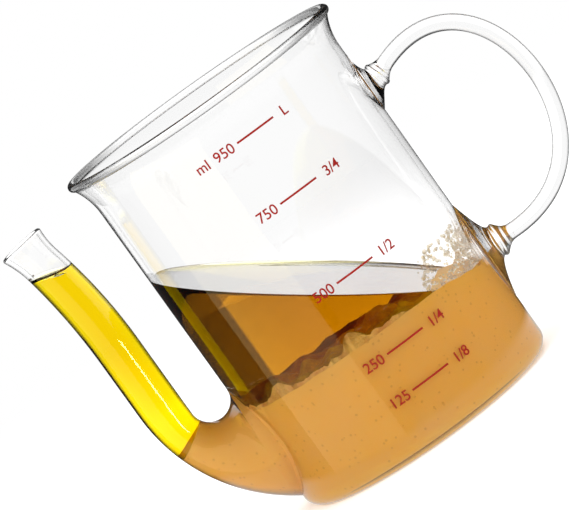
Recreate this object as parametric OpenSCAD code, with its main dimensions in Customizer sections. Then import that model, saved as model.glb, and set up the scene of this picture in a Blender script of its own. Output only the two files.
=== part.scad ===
// Gravy fat separator: a blown glass jug whose spout draws from the bottom of the vessel.
// The vessel stands on z = 0 about the Z axis, with the handle on +X and the spout on -X.

/* [Vessel] */
// Outside diameter of the straight wall
vessel_d = 103; // [88:1:125]
// Height from the underside to the top of the rim
vessel_h = 144; // [132:1:175]
// Thickness of the wall
wall_t = 2; // [1.6:0.1:2.4]
// Thickness of the base
base_t = 3; // [2:0.1:4]
// Outside radius of the heel, where the base turns up into the wall
heel_r = 5; // [3.5:0.5:7]

/* [Rim] */
// Height of the zone under the rim where the wall turns outward
flare_h = 15; // [10:1:18]
// Radius of that outward turn, on the outer face
flare_r = 24; // [20:1:40]
// Diameter of the fire-polished bead
bead_d = 3.2; // [2.6:0.1:4]

/* [Spout tube] */
// Outside diameter of the tube
tube_d = 16; // [13:0.5:20]
// Thickness of the tube's wall
tube_wall = 1.8; // [1.4:0.1:2.2]
// Clear gap between the vessel and the tube
gap_w = 15; // [12:0.5:18]
// Height at which the tube leaves its root
root_top = 62; // [56:1:72]
// How far the middle of the mouth is below the rim
mouth_drop = 7.4; // [4:0.2:14]
// Angle at which the tube leans away from the vessel at the mouth
lean_a = 12; // [8:0.5:15]
// Radius of the bend that leads to that lean
lean_r = 200; // [150:5:215]
// Length of the flared lip
lip_l = 10; // [7:0.5:13]
// How much the tube's radius narrows on its way to the lip
neck_in = 0.5; // [0:0.1:0.8]
// How much larger than the tube's radius the lip's radius is
lip_flare = 0.8; // [0.4:0.1:1.6]
// Angle of the mouth, which is cut more level than the tube leans
mouth_a = 8; // [4:0.5:15]

/* [Spout root] */
// Height of the bottom of the gap between the vessel and the spout
gap_floor = 44.8; // [38:0.2:47]
// Height of the underside of the root where it leaves the vessel
root_low = 5.6; // [3.6:0.2:10]
// Width of the root on the vessel's wall
root_w = 44; // [42:1:54]
// Diameter of the hole from the vessel into the root
hole_d = 36; // [28:1:37]
// Share by which the root spreads as it wraps round the wall
root_spread = 0.12; // [0:0.02:0.2]

/* [Handle] */
// Diameter of the glass rod
rod_d = 6; // [5:0.5:8]
// Height of the upper weld ring
upper_z = 112.8; // [100:0.2:113]
// Distance of the upper weld ring from the wall
upper_stand = 5.9; // [5:0.1:9]
// Angle at which the rod rises from the upper weld ring
upper_rise = 20; // [10:1:32]
// How far the rod is pulled outward above
upper_pull = 58.4; // [48:0.2:70]
// Height of the lower weld ring
lower_z = 39.4; // [36:0.2:46]
// Distance of the lower weld ring from the wall
lower_stand = 7.4; // [6:0.1:10]
// Angle at which the rod rises from the lower weld ring, falling when negative
lower_rise = -2; // [-12:1:6]
// How far the rod is pulled outward below
lower_pull = 61; // [50:0.2:74]

/* [Handle welds] */
// Radius of the upper ring
upper_ring_r = 5.2; // [4.8:0.1:6.2]
// Half the height of the upper weld on the wall
upper_foot_h = 12; // [9:0.5:12.5]
// Half the width of the upper weld on the wall
upper_foot_w = 9; // [7:0.5:11]
// Radius of the lower ring
lower_ring_r = 6.4; // [5.2:0.1:7.6]
// Half the height of the lower weld on the wall
lower_foot_h = 19.8; // [15:0.2:24]
// Half the width of the lower weld on the wall
lower_foot_w = 13; // [9:0.5:16]
// Length along the rod of the taper in front of each ring
weld_taper = 4.5; // [3:0.5:7]
// Thickness of each ring
ring_t = 2.2; // [1.6:0.1:3]

/* [Measuring marks] */
// Height of the 125 ml mark
mark_125_z = 21.2; // [18:0.2:24]
// Height of the 250 ml mark
mark_250_z = 36.5; // [33:0.2:40]
// Height of the 500 ml mark
mark_500_z = 66.6; // [60:0.2:72]
// Height of the 750 ml mark
mark_750_z = 100.2; // [92:0.2:106]
// Height of the 950 ml mark
mark_950_z = 125.8; // [116:0.2:127]
// Length of each mark around the wall
mark_l = 15.6; // [10:0.2:22]
// Height of the printed line
mark_w = 0.7; // [0.5:0.1:1.2]
// Thickness of the fired enamel
mark_t = 0.2; // [0.15:0.05:0.3]
// Angle from the front to the middle of each mark, towards the handle
mark_turn = 10.8; // [0:0.2:30]

/* [Hidden] */

$fn = 96;
glass = [0.86, 0.91, 0.90, 0.45];
enamel = [0.66, 0.16, 0.12];

vessel_r = vessel_d / 2;
bead_r = bead_d / 2;
flare_z = vessel_h - flare_h;
tube_r = tube_d / 2;
hole_r = hole_d / 2;
rod_r = rod_d / 2;

// Steps along a turned corner, along a loft and around a loft's ring
corner_steps = 8;
root_steps = 26;
weld_steps = 7;
rod_steps = 56;
root_sides = 36;
rod_sides = 20;
weld_sides = 28;

// Points of an arc in a plane, both ends included
function arc(centre, r, from, to, steps) = [
    for (i = [0 : steps])
        let (a = from + (to - from) * i / steps)
        centre + r * [cos(a), sin(a)]
];

// Value between a and b
function mix(a, b, s) = a + (b - a) * s;

// A closed ring of points in a plane that holds the Y axis: half sizes along the slope and along Y
function ring(centre, slope, half_up, half_side, sides) = [
    for (i = [0 : sides - 1])
        let (a = 360 * i / sides)
        [
            centre[0] + half_up * cos(a) * cos(slope),
            half_side * sin(a),
            centre[1] + half_up * cos(a) * sin(slope)
        ]
];

// A solid through a list of rings that all have the same number of points
module loft(rings) {
    sides = len(rings[0]);
    last = len(rings) - 1;
    polyhedron(
        points = [for (r = rings) for (p = r) p],
        faces = concat(
            [
                for (k = [0 : last - 1])
                    for (i = [0 : sides - 1])
                        for (half = [0, 1])
                            let (a = k * sides + i)
                            let (b = k * sides + (i + 1) % sides)
                            half == 0 ? [a, b + sides, b] : [a, a + sides, b + sides]
            ],
            [[for (i = [0 : sides - 1]) i]],
            [[for (i = [sides - 1 : -1 : 0]) last * sides + i]]
        )
    );
}

// ---- Vessel ----

// The flare is an arc about a centre outside the wall, and the bead sits on the end of its middle line
flare_mid_r = flare_r + wall_t / 2;
flare_a = asin((flare_h - bead_r) / flare_mid_r);
flare_centre = [vessel_r + flare_r, flare_z];
bead_centre = flare_centre + flare_mid_r * [-cos(flare_a), sin(flare_a)];
// The bead meets the two faces of the wall this far round from the middle line
bead_meet_a = asin(wall_t / bead_d);
flare_end_a = flare_a - (bead_r * cos(bead_meet_a)) / flare_mid_r * 180 / PI;
bead_back_a = 270 - flare_a;
inner_heel_r = heel_r - wall_t;

function vessel_section() = concat(
    [[0, 0]],
    arc([vessel_r - heel_r, heel_r], heel_r, -90, 0, corner_steps),
    arc(flare_centre, flare_r, 180, 180 - flare_end_a, corner_steps),
    arc(bead_centre, bead_r, bead_back_a + bead_meet_a - 360, bead_back_a - bead_meet_a, 2 * corner_steps),
    arc(flare_centre, flare_r + wall_t, 180 - flare_end_a, 180, corner_steps),
    arc([vessel_r - wall_t - inner_heel_r, base_t + inner_heel_r], inner_heel_r, 0, -90, corner_steps),
    [[0, base_t]]
);

module vessel() {
    color(glass)
        difference() {
            rotate_extrude()
                polygon(vessel_section());
            translate([-vessel_r, 0, hole_z])
                rotate([0, 90, 0])
                    cylinder(r = hole_r, h = 4 * hole_r, center = true);
        }
}

// ---- Spout ----

tube_x = -(vessel_r + gap_w + tube_r);
mouth_z = vessel_h - mouth_drop;
lean_z = mouth_z - lip_l * cos(lean_a) - lean_r * sin(lean_a);

// The underside is an arc that leaves the wall at root_low and turns upright at root_top
under_run = gap_w + tube_d;
under_rise = root_top - root_low;
under_r = (under_run * under_run + under_rise * under_rise) / (2 * under_run);
under_centre = [-vessel_r - under_run + under_r, root_top];
under_a = atan2(under_rise, under_r - under_run);

// The inside of the bend is half a circle that fills the gap, and then runs straight up
crotch_r = gap_w / 2;
crotch_centre = [-vessel_r - crotch_r, gap_floor + crotch_r];
crotch_share = 0.8;

function under_point(t) =
    let (a = 180 + under_a * (1 - t))
    under_centre + under_r * [cos(a), sin(a)];

function crotch_point(t) =
    t < crotch_share
        ? crotch_centre + crotch_r * [cos(180 * t / crotch_share), -sin(180 * t / crotch_share)]
        : let (s = (t - crotch_share) / (1 - crotch_share))
            [crotch_centre[0] - crotch_r, mix(crotch_centre[1], root_top, s)];

// Half the root's height on the wall, and the middle of the hole behind it
root_half_h = norm(crotch_point(0) - under_point(0)) / 2;
hole_z = (crotch_point(0)[1] + under_point(0)[1]) / 2;

// A ring of the root at t, drawn in from its outer face by the given sizes at the wall and at the tube
function root_ring(t, in_up, in_side, in_tube) =
    let (high = crotch_point(t))
    let (low = under_point(t))
    let (side = mix(tube_r, root_w / 2, pow(1 - t, 2)))
    let (fade = pow(1 - t, 3))
    ring(
        (high + low) / 2,
        atan2(high[1] - low[1], high[0] - low[0]),
        norm(high - low) / 2 - mix(in_tube, in_up, fade),
        side - mix(in_tube, in_side, fade),
        root_sides
    );

// The rings of the root, with one more ring that is sunk into the vessel and grown by spread
function root_rings(in_up, in_side, in_tube, spread) = concat(
    [[
        for (p = root_ring(0, in_up, in_side, in_tube))
            [-root_sink, p[1] * (1 + spread), hole_z + (p[2] - hole_z) * (1 + spread)]
    ]],
    [for (k = [0 : root_steps]) root_ring(k / root_steps, in_up, in_side, in_tube)]
);

// At this distance from the axis the widest part of the root is still inside the wall's outer face
root_sink = sqrt(vessel_r * vessel_r - pow(root_w / 2 * (1 + root_spread), 2)) - 1;

module spout_root() {
    color(glass)
        difference() {
            loft(root_rings(0, 0, 0, root_spread));
            loft(run_through(
                root_rings(root_half_h - hole_r, root_w / 2 - hole_r, tube_wall, 0),
                [1, 0, 0],
                [0, 0, 1]
            ));
            cylinder(r = vessel_r, h = vessel_h);
        }
}

// The tube runs straight up, narrows as it bends away from the vessel, and ends in a lip that widens
bend_steps = 10;
lip_steps = 5;
edge_steps = 4;
lip_edge_r = tube_wall / 2;
lip_edge_w = lip_l - lip_edge_r;
bend_end = [tube_x - lean_r * (1 - cos(lean_a)), lean_z + lean_r * sin(lean_a)];
lip_heading = [-sin(lean_a), cos(lean_a)];
mouth_heading = [-sin(mouth_a), cos(mouth_a)];

// The round edge of the lip stops this far short of its crest, which leaves a narrow flat
edge_stop_a = 75;

function lip_centre(w) = bend_end + w * lip_heading;

function lip_growth(w) = mix(-neck_in, lip_flare, pow(w / lip_edge_w, 2));

// The rings of the tube for its outer face (side = 1) or its bore (side = -1)
function tube_rings(side) = let (r = tube_r - lip_edge_r + side * lip_edge_r) concat(
    [ring([tube_x, root_top], 0, r, r, root_sides)],
    [
        for (k = [0 : bend_steps])
            let (a = lean_a * k / bend_steps)
            let (bend_r = r - neck_in * pow(k / bend_steps, 2))
            ring(
                [tube_x - lean_r * (1 - cos(a)), lean_z + lean_r * sin(a)],
                a,
                bend_r, bend_r, root_sides
            )
    ],
    [
        for (k = [1 : lip_steps])
            let (w = lip_edge_w * k / lip_steps)
            let (lip_r = r + lip_growth(w))
            ring(
                lip_centre(w),
                mix(lean_a, mouth_a, k / lip_steps),
                lip_r, lip_r, root_sides
            )
    ],
    [
        for (k = [1 : edge_steps])
            let (a = edge_stop_a * k / edge_steps)
            let (edge_r = r + lip_flare - side * lip_edge_r * (1 - cos(a)))
            ring(
                lip_centre(lip_edge_w) + lip_edge_r * sin(a) * mouth_heading,
                mouth_a,
                edge_r, edge_r, root_sides
            )
    ]
);

// Copies of a list's first and last rings moved along, so that a bore runs out of both ends
function run_through(rings, first_shift, last_shift) = concat(
    [[for (p = rings[0]) p + first_shift]],
    rings,
    [[for (p = rings[len(rings) - 1]) p + last_shift]]
);

module spout_tube() {
    color(glass)
        difference() {
            loft(tube_rings(1));
            loft(run_through(tube_rings(-1), [0, 0, -1], [mouth_heading[0], 0, mouth_heading[1]]));
        }
}

// ---- Handle ----

upper_ring = [vessel_r + upper_stand, upper_z];
lower_ring = [vessel_r + lower_stand, lower_z];

function heading(a) = [cos(a), sin(a)];

// The rod is one smooth pull of glass: a cubic curve from one weld's taper to the other's
rod_points = [
    upper_ring + weld_taper * heading(upper_rise),
    upper_ring + upper_pull * heading(upper_rise),
    lower_ring + lower_pull * heading(lower_rise),
    lower_ring + weld_taper * heading(lower_rise)
];

function curve_point(p, t) =
    pow(1 - t, 3) * p[0] + 3 * pow(1 - t, 2) * t * p[1] + 3 * (1 - t) * t * t * p[2] + pow(t, 3) * p[3];

function curve_heading(p, t) =
    let (d = pow(1 - t, 2) * (p[1] - p[0]) + 2 * (1 - t) * t * (p[2] - p[1]) + t * t * (p[3] - p[2]))
    atan2(d[1], d[0]);

module handle_rod() {
    color(glass)
        loft([
            for (k = [0 : rod_steps])
                let (t = k / rod_steps)
                ring(
                    curve_point(rod_points, t),
                    curve_heading(rod_points, t) - 90,
                    rod_r, rod_r, rod_sides
                )
        ]);
}

// Section of a weld's ring about the rod's axis: a taper from the rod, then a rounded ring
function weld_ring_section(ring_r) =
    let (edge_r = ring_t / 2)
    let (front_r = ring_r - edge_r * 0.6)
    concat(
        [[0, -ring_t], [ring_r - edge_r, -ring_t]],
        arc([ring_r - edge_r, -edge_r], edge_r, -60, 60, corner_steps),
        [
            for (i = [0 : corner_steps])
                let (s = i / corner_steps)
                [mix(front_r, rod_r, 1 - pow(1 - s, 2)), weld_taper * s]
        ],
        [[0, weld_taper]]
    );

// A drawn-out foot from the wall to the ring: upright on the wall, square to the rod at the ring
module weld(ring_centre, rise, ring_r, foot_h, foot_w) {
    back = ring_centre - ring_t * heading(rise);
    waist_r = ring_r - 0.4;
    sunk = sqrt(vessel_r * vessel_r - foot_w * foot_w) - 1;
    foot = [vessel_r, ring_centre[1]];
    color(glass) {
        difference() {
            loft(concat(
                [ring([sunk, foot[1]], -90, foot_h, foot_w, weld_sides)],
                [
                    for (k = [0 : weld_steps])
                        let (s = k / weld_steps)
                        let (spread = pow(1 - s, 1.7))
                        ring(
                            mix(foot, back, s),
                            rise * s - 90,
                            mix(waist_r, foot_h, spread),
                            mix(waist_r, foot_w, spread),
                            weld_sides
                        )
                ]
            ));
            cylinder(r = vessel_r, h = vessel_h);
        }
        translate([ring_centre[0], 0, ring_centre[1]])
            rotate([0, 90 - rise, 0])
                rotate_extrude()
                    polygon(weld_ring_section(ring_r));
    }
}

module handle_upper_weld() {
    weld(upper_ring, upper_rise, upper_ring_r, upper_foot_h, upper_foot_w);
}

module handle_lower_weld() {
    weld(lower_ring, lower_rise, lower_ring_r, lower_foot_h, lower_foot_w);
}

// ---- Measuring marks ----

module mark(z) {
    span = mark_l / vessel_r * 180 / PI;
    color(enamel)
        translate([0, 0, z - mark_w / 2])
            rotate([0, 0, mark_turn - 90 - span / 2])
                rotate_extrude(angle = span)
                    translate([vessel_r, 0])
                        square([mark_t, mark_w]);
}

vessel();
spout_root();
spout_tube();
handle_rod();
handle_upper_weld();
handle_lower_weld();
mark(mark_125_z);  // mark_125
mark(mark_250_z);  // mark_250
mark(mark_500_z);  // mark_500
mark(mark_750_z);  // mark_750
mark(mark_950_z);  // mark_950
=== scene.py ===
"""Looks of the gravy fat separator: glass, printed scale, gravy and fat, and the studio round it."""

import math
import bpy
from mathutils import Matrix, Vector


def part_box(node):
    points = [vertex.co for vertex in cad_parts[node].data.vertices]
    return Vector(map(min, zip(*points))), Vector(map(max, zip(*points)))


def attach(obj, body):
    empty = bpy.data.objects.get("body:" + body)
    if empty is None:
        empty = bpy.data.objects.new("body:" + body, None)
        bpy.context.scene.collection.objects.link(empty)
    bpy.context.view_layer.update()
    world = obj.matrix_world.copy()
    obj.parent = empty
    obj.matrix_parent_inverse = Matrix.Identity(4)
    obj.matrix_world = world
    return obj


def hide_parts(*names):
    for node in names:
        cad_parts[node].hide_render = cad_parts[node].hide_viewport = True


bl_info = {
    "name": "Gravy Fat Separator",
    "version": (1, 0, 0),
    "blender": (4, 5, 0),
    "location": "3D View > Sidebar > Separator",
    "description": "Makes the glass, the printed scale, the contents and the studio of a gravy fat separator",
    "category": "Add Mesh",
}

import bmesh
import bpy
from bpy.props import FloatProperty, FloatVectorProperty, IntProperty, PointerProperty
from mathutils import Matrix, Quaternion, Vector, noise

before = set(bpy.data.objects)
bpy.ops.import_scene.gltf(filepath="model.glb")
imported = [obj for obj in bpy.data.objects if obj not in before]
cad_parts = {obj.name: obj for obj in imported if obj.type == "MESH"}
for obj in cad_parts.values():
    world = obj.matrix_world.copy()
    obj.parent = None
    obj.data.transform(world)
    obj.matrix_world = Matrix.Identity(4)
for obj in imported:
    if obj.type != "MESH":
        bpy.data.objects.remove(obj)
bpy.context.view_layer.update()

MM = 0.001
WHITE = (1, 1, 1, 1)


def length(name, description, default):
    """A size in metres."""
    return FloatProperty(name=name, description=description, default=default, unit="LENGTH", precision=5)


def angle(name, description, degrees):
    """An angle, given in degrees and kept in radians."""
    return FloatProperty(name=name, description=description, default=math.radians(degrees), unit="ROTATION")


def colour(name, description, red, green, blue):
    """A colour given as the 0 to 255 values of a picture and kept as linear light."""
    return FloatVectorProperty(
        name=name,
        description=description,
        default=[linear(c) for c in (red, green, blue)],
        subtype="COLOR",
        min=0,
        max=1,
    )


def linear(value):
    """Linear light of a 0 to 255 picture value."""
    c = value / 255
    return c / 12.92 if c <= 0.04045 else ((c + 0.055) / 1.055) ** 2.4


# ---------------------------------------------------------------- sizes and colours


class VesselSizes(bpy.types.PropertyGroup):
    """Sizes of the vessel, as the CAD has them."""

    wall_d: length("Wall diameter", "Outside diameter of the straight wall", 103 * MM)
    height: length("Height", "From the underside to the top of the rim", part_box("vessel")[1].z)
    wall_t: length("Wall", "Thickness of the wall", 2 * MM)
    base_t: length("Base", "Thickness of the base", 3 * MM)
    heel_r: length("Heel radius", "Outside radius where the base turns up", 5 * MM)
    flare_h: length("Flare height", "Zone under the rim where the wall turns outward", 15 * MM)
    flare_r: length("Flare radius", "Radius of the outward turn", 24 * MM)
    bead_d: length("Bead diameter", "Diameter of the fire-polished bead", 3.2 * MM)


class SpoutSizes(bpy.types.PropertyGroup):
    """Sizes of the spout, as the CAD has them."""

    tube_d: length("Tube diameter", "Outside diameter of the tube", 16 * MM)
    tube_wall: length("Tube wall", "Thickness of the tube's wall", 1.8 * MM)
    gap_w: length("Gap", "Clear gap between the vessel and the tube", 15 * MM)
    root_top: length("Root top", "Height at which the tube leaves its root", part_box("spout_tube")[0].z)
    mouth_drop: length("Mouth drop", "How far the mouth is below the rim", 7.4 * MM)
    lean_a: angle("Lean", "Angle at which the tube leans away at the mouth", 12)
    lean_r: length("Lean radius", "Radius of the bend that leads to the lean", 200 * MM)
    lip_l: length("Lip length", "Length of the flared lip", 10 * MM)
    neck_in: length("Neck", "How much the tube's radius narrows on its way to the lip", 0.5 * MM)
    lip_flare: length("Lip flare", "How much larger than the tube's radius the lip's radius is", 0.8 * MM)
    mouth_a: angle("Mouth", "Angle of the mouth, which is cut more level than the tube leans", 8)
    gap_floor: length("Gap floor", "Height of the bottom of the gap", 44.8 * MM)
    root_low: length("Root low", "Height of the root's underside at the vessel", 5.6 * MM)
    root_w: length("Root width", "Width of the root on the vessel's wall", 44 * MM)
    hole_d: length("Hole diameter", "Diameter of the hole into the root", 36 * MM)
    root_spread: FloatProperty(name="Spread", description="Growth of the root round the wall", default=0.12)


class HandleSizes(bpy.types.PropertyGroup):
    """Sizes of the handle and its welds, as the CAD has them."""

    rod_d: length("Rod diameter", "Diameter of the glass rod", 2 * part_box("handle_rod")[1].y)
    upper_z: length("Upper ring", "Height of the upper weld ring", 112.8 * MM)
    upper_stand: length("Upper stand-off", "Distance of the upper ring from the wall", 5.9 * MM)
    upper_rise: angle("Upper rise", "Angle at which the rod leaves the upper ring", 20)
    upper_pull: length("Upper pull", "How far the rod is pulled outward above", 58.4 * MM)
    upper_ring_r: length("Upper ring radius", "Radius of the upper ring", 5.2 * MM)
    upper_foot_h: length("Upper foot height", "Half the height of the upper weld", 12 * MM)
    upper_foot_w: length("Upper foot width", "Half the width of the upper weld", 9 * MM)
    lower_z: length("Lower ring", "Height of the lower weld ring", 39.4 * MM)
    lower_stand: length("Lower stand-off", "Distance of the lower ring from the wall", 7.4 * MM)
    lower_rise: angle("Lower rise", "Angle at which the rod leaves the lower ring", -2)
    lower_pull: length("Lower pull", "How far the rod is pulled outward below", 61 * MM)
    lower_ring_r: length("Lower ring radius", "Radius of the lower ring", 6.4 * MM)
    lower_foot_h: length("Lower foot height", "Half the height of the lower weld", 19.8 * MM)
    lower_foot_w: length("Lower foot width", "Half the width of the lower weld", 13 * MM)
    weld_taper: length("Weld taper", "Length of the taper in front of a ring", 4.5 * MM)
    ring_t: length("Ring thickness", "Thickness of each ring", 2.2 * MM)


class PrintSizes(bpy.types.PropertyGroup):
    """Sizes of the printed numbers."""

    digit_h: length("Digit height", "Height of the printed digits", 3.9 * MM)
    left_gap: length("Left gap", "From the millilitre numbers to the line", 1.7 * MM)
    right_gap: length("Right gap", "From the line to the litre numbers", 3.8 * MM)
    unit_gap: length("Unit gap", "From the unit to its number", 2.7 * MM)
    enamel_t: length("Enamel thickness", "Thickness of the fired enamel", 0.12 * MM)


class FillSizes(bpy.types.PropertyGroup):
    """How full the separator is."""

    gravy_z: length("Gravy level", "Height of the top of the gravy at the front", 44 * MM)
    gravy_tilt: angle("Gravy tilt", "Fall of the thick gravy's surface towards the back", 2.5)
    fat_z: length("Fat level", "Height of the fat's surface on the vessel's axis", 63.3 * MM)
    tilt: angle("Tilt", "Tilt of the fat's surface as it is poured, 0 for a level jug", 35.46)
    tilt_back: angle("Tilt back", "Tilt of the fat's surface towards the front, 0 for a level jug", 1.7)
    spout_z: length("Spout level", "Height of the fat's surface in the spout", 122.4 * MM)
    spout_tilt: angle("Spout tilt", "Tilt of the fat's surface in the spout", 19)
    spout_share: FloatProperty(
        name="Root share", description="Share of the root, from the vessel, that holds gravy", default=0.67
    )
    scum_t: length("Scum thickness", "Thickness of the layer between gravy and fat", 2.6 * MM)
    bubbles_per_area: FloatProperty(name="Froth", description="Bubbles per square metre", default=420000)
    froth_seed: IntProperty(name="Froth seed", description="Seed of the froth's bubbles", default=4)


class Finishes(bpy.types.PropertyGroup):
    """Colours of the materials."""

    enamel: colour("Enamel", "Printed scale", 142, 24, 16)
    gravy: colour("Gravy", "Gravy seen through the glass", 255, 188, 68)
    gravy_pale: colour("Pale gravy", "Paler streaks in the gravy", 250, 190, 98)
    gravy_grain: colour("Gravy grain", "Fine grains in the gravy", 190, 120, 56)
    scum: colour("Scum", "Browned solids between gravy and fat", 246, 190, 84)
    scum_dark: colour("Dark scum", "Darkest of those solids", 212, 134, 40)
    froth: colour("Froth", "Froth where the fat laps the wall", 252, 238, 204)
    floor: colour("Floor", "Studio floor", 226, 226, 226)


class StudioSizes(bpy.types.PropertyGroup):
    """Where the camera is and how long its lens is."""

    aim_x: length("Aim X", "Point behind the picture's middle", -7.24 * MM)
    aim_z: length("Aim Z", "Height of that point", 79.23 * MM)
    pivot_z: length("Pivot height", "Height on the axis that the camera goes round", 70 * MM)
    distance: length("Distance", "From that height to the camera", 1.65)
    elevation: angle("Elevation", "Camera's height above the vessel's horizon", 6.786)
    roll: angle("Roll", "Turn of the camera about its own axis, which tips the jug", 35.458)
    lens: FloatProperty(name="Lens", description="Focal length in millimetres", default=294.9)
    floor_r: length("Floor radius", "Radius of the floor", 1.2)


# ---------------------------------------------------------------- meshes


def arc(centre, radius, start, end, steps):
    """Points of an arc in a plane, angles in degrees, both ends included."""
    turns = [math.radians(start + (end - start) * i / steps) for i in range(steps + 1)]
    return [centre + radius * Vector((math.cos(a), math.sin(a))) for a in turns]


def mix(a, b, share):
    """Value between a and b."""
    return a + (b - a) * share


def heading(a):
    """Unit vector at an angle in radians, in the XZ plane."""
    return Vector((math.cos(a), math.sin(a)))


def ring(centre, slope, half_up, half_side, sides):
    """A closed ring of points in a plane that holds the Y axis, slope in radians."""
    points = []
    for i in range(sides):
        a = math.tau * i / sides
        up = half_up * math.cos(a)
        side = half_side * math.sin(a)
        points.append(Vector((centre.x + up * math.cos(slope), side, centre.y + up * math.sin(slope))))
    return points


def divided(outline, longest):
    """The outline with its long stretches divided."""
    points = [outline[0]]
    for a, b in zip(outline, outline[1:]):
        steps = max(1, math.ceil((b - a).length / longest))
        points += [a.lerp(b, (i + 1) / steps) for i in range(steps)]
    return points


def make_object(name, bm, slots=2):
    """An object at the origin from a bmesh, with its normals outward."""
    bmesh.ops.recalc_face_normals(bm, faces=bm.faces)
    mesh = bpy.data.meshes.new(name)
    bm.to_mesh(mesh)
    bm.free()
    for _ in range(slots):
        mesh.materials.append(None)
    obj = bpy.data.objects.new(name, mesh)
    bpy.context.scene.collection.objects.link(obj)
    return obj


def loft(name, rings, start_index=0, end_index=0, side_index=0):
    """A closed solid through rings with equal numbers of points, with a material index for each end."""
    bm = bmesh.new()
    rows = [[bm.verts.new(p) for p in r] for r in rings]
    sides = len(rings[0])
    for low, high in zip(rows, rows[1:]):
        for i in range(sides):
            j = (i + 1) % sides
            bm.faces.new((low[i], low[j], high[j], high[i])).material_index = side_index
    bm.faces.new(rows[0]).material_index = start_index
    bm.faces.new(rows[-1]).material_index = end_index
    return make_object(name, bm)


def turned(name, outline, sides, index=0, end_index=None, place=None):
    """A closed solid turned about Z from points (radius, height) that start and end on the axis."""
    bm = bmesh.new()
    rows = []
    for p in outline:
        if p.x < 1e-9:
            rows.append([bm.verts.new((0, 0, p.y))])
            continue
        turns = [math.tau * i / sides for i in range(sides)]
        rows.append([bm.verts.new((p.x * math.cos(a), p.x * math.sin(a), p.y)) for a in turns])
    for low, high in zip(rows, rows[1:]):
        for i in range(sides):
            j = (i + 1) % sides
            corners = [low[i % len(low)], low[j % len(low)], high[j % len(high)], high[i % len(high)]]
            face = bm.faces.new(list(dict.fromkeys(corners)))
            face.material_index = index
    if end_index is not None:
        for f in rows[-1][0].link_faces:
            f.material_index = end_index
    if place:
        bm.transform(place)
    return make_object(name, bm)


def remove(obj):
    """Deletes an object and its mesh."""
    mesh = obj.data
    bpy.data.objects.remove(obj)
    bpy.data.meshes.remove(mesh)


def bake_modifiers(obj):
    """Gives the object its evaluated mesh and takes its modifiers away."""
    bpy.context.view_layer.update()
    graph = bpy.context.evaluated_depsgraph_get()
    made = bpy.data.meshes.new_from_object(obj.evaluated_get(graph), depsgraph=graph)
    obj.modifiers.clear()
    old = obj.data
    obj.data = made
    made.name = obj.name
    bpy.data.meshes.remove(old)


def combine(obj, tool, operation, keep_tool=False):
    """Cuts, joins or trims the object with another closed solid, which is used up unless it is kept."""
    modifier = obj.modifiers.new("combine", "BOOLEAN")
    modifier.operation = operation
    modifier.solver = "MANIFOLD"
    modifier.object = tool
    bake_modifiers(obj)
    if not obj.data.polygons:
        raise RuntimeError(f"{obj.name} came out empty")
    if not keep_tool:
        remove(tool)


def finish_piece(obj, materials, replaces=(), sharp=35):
    """Smooths a piece, gives it its materials and puts it in the frame."""
    mesh = obj.data
    mesh.shade_smooth()
    mesh.set_sharp_from_angle(angle=math.radians(sharp))
    indexes = [min(p.material_index, len(materials) - 1) for p in mesh.polygons]
    mesh.materials.clear()
    for m in materials:
        mesh.materials.append(m)
    mesh.polygons.foreach_set("material_index", indexes)
    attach(obj, "root")
    if replaces:
        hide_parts(*replaces)


# ---------------------------------------------------------------- node helpers


def set_inputs(tree, node, inputs):
    """Sets each named input of a node to a value, or joins it to a socket."""
    for name, value in inputs.items():
        socket = node.inputs[name]
        if isinstance(value, bpy.types.NodeSocket):
            tree.links.new(value, socket)
        elif socket.type == "RGBA" and len(value) == 3:
            socket.default_value = (*value, 1)
        else:
            socket.default_value = value
    return node


def put(tree, kind, inputs=None, **settings):
    """A node with its settings and inputs."""
    made = tree.nodes.new(kind)
    for name, value in settings.items():
        setattr(made, name, value)
    return set_inputs(tree, made, inputs or {})


def math_node(tree, operation, a, b=0.0, clamp=False):
    """The value of a Math node."""
    return put(tree, "ShaderNodeMath", {0: a, 1: b}, operation=operation, use_clamp=clamp).outputs[0]


def map_range(tree, value, low, high, to_low=0.0, to_high=1.0, kind="LINEAR"):
    """A value moved from one range to another."""
    inputs = {"Value": value, "From Min": low, "From Max": high, "To Min": to_low, "To Max": to_high}
    return put(tree, "ShaderNodeMapRange", inputs, interpolation_type=kind).outputs["Result"]


def colour_mix(tree, factor, a, b, blend="MIX"):
    """The colour of a Mix node."""
    made = put(tree, "ShaderNodeMix", data_type="RGBA", blend_type=blend)
    for name, value in (("Factor_Float", factor), ("A_Color", a), ("B_Color", b)):
        socket = next(s for s in made.inputs if s.identifier == name)
        if isinstance(value, bpy.types.NodeSocket):
            tree.links.new(value, socket)
        else:
            socket.default_value = value if name == "Factor_Float" else (*value[:3], 1)
    return next(s for s in made.outputs if s.identifier == "Result_Color")


def ramp(tree, factor, stops):
    """The colour of a ramp with stops (place, colour)."""
    made = put(tree, "ShaderNodeValToRGB", {"Fac": factor})
    elements = made.color_ramp.elements
    while len(elements) < len(stops):
        elements.new(1)
    for element, (place, shade) in zip(elements, stops):
        element.position = place
        element.color = (shade, shade, shade, 1) if isinstance(shade, (int, float)) else (*shade[:3], 1)
    return made.outputs["Color"]


def facing(tree):
    """How far a face turns away, from 0, square on, to 1, edge on."""
    return put(tree, "ShaderNodeLayerWeight", {"Blend": 0.5}).outputs["Facing"]


def object_coordinates(tree):
    """Object coordinates, in metres."""
    return put(tree, "ShaderNodeTexCoord").outputs["Object"]


def glow(tree, strength, shade=WHITE):
    """A surface that gives off light."""
    return put(tree, "ShaderNodeEmission", {"Color": shade, "Strength": strength}).outputs[0]


def see_through(tree):
    """A surface that isn't there."""
    return put(tree, "ShaderNodeBsdfTransparent", {"Color": WHITE}).outputs[0]


def either(tree, factor, a, b):
    """One shader at 0 and the other at 1."""
    return put(tree, "ShaderNodeMixShader", {0: factor, 1: a, 2: b}).outputs[0]


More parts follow.
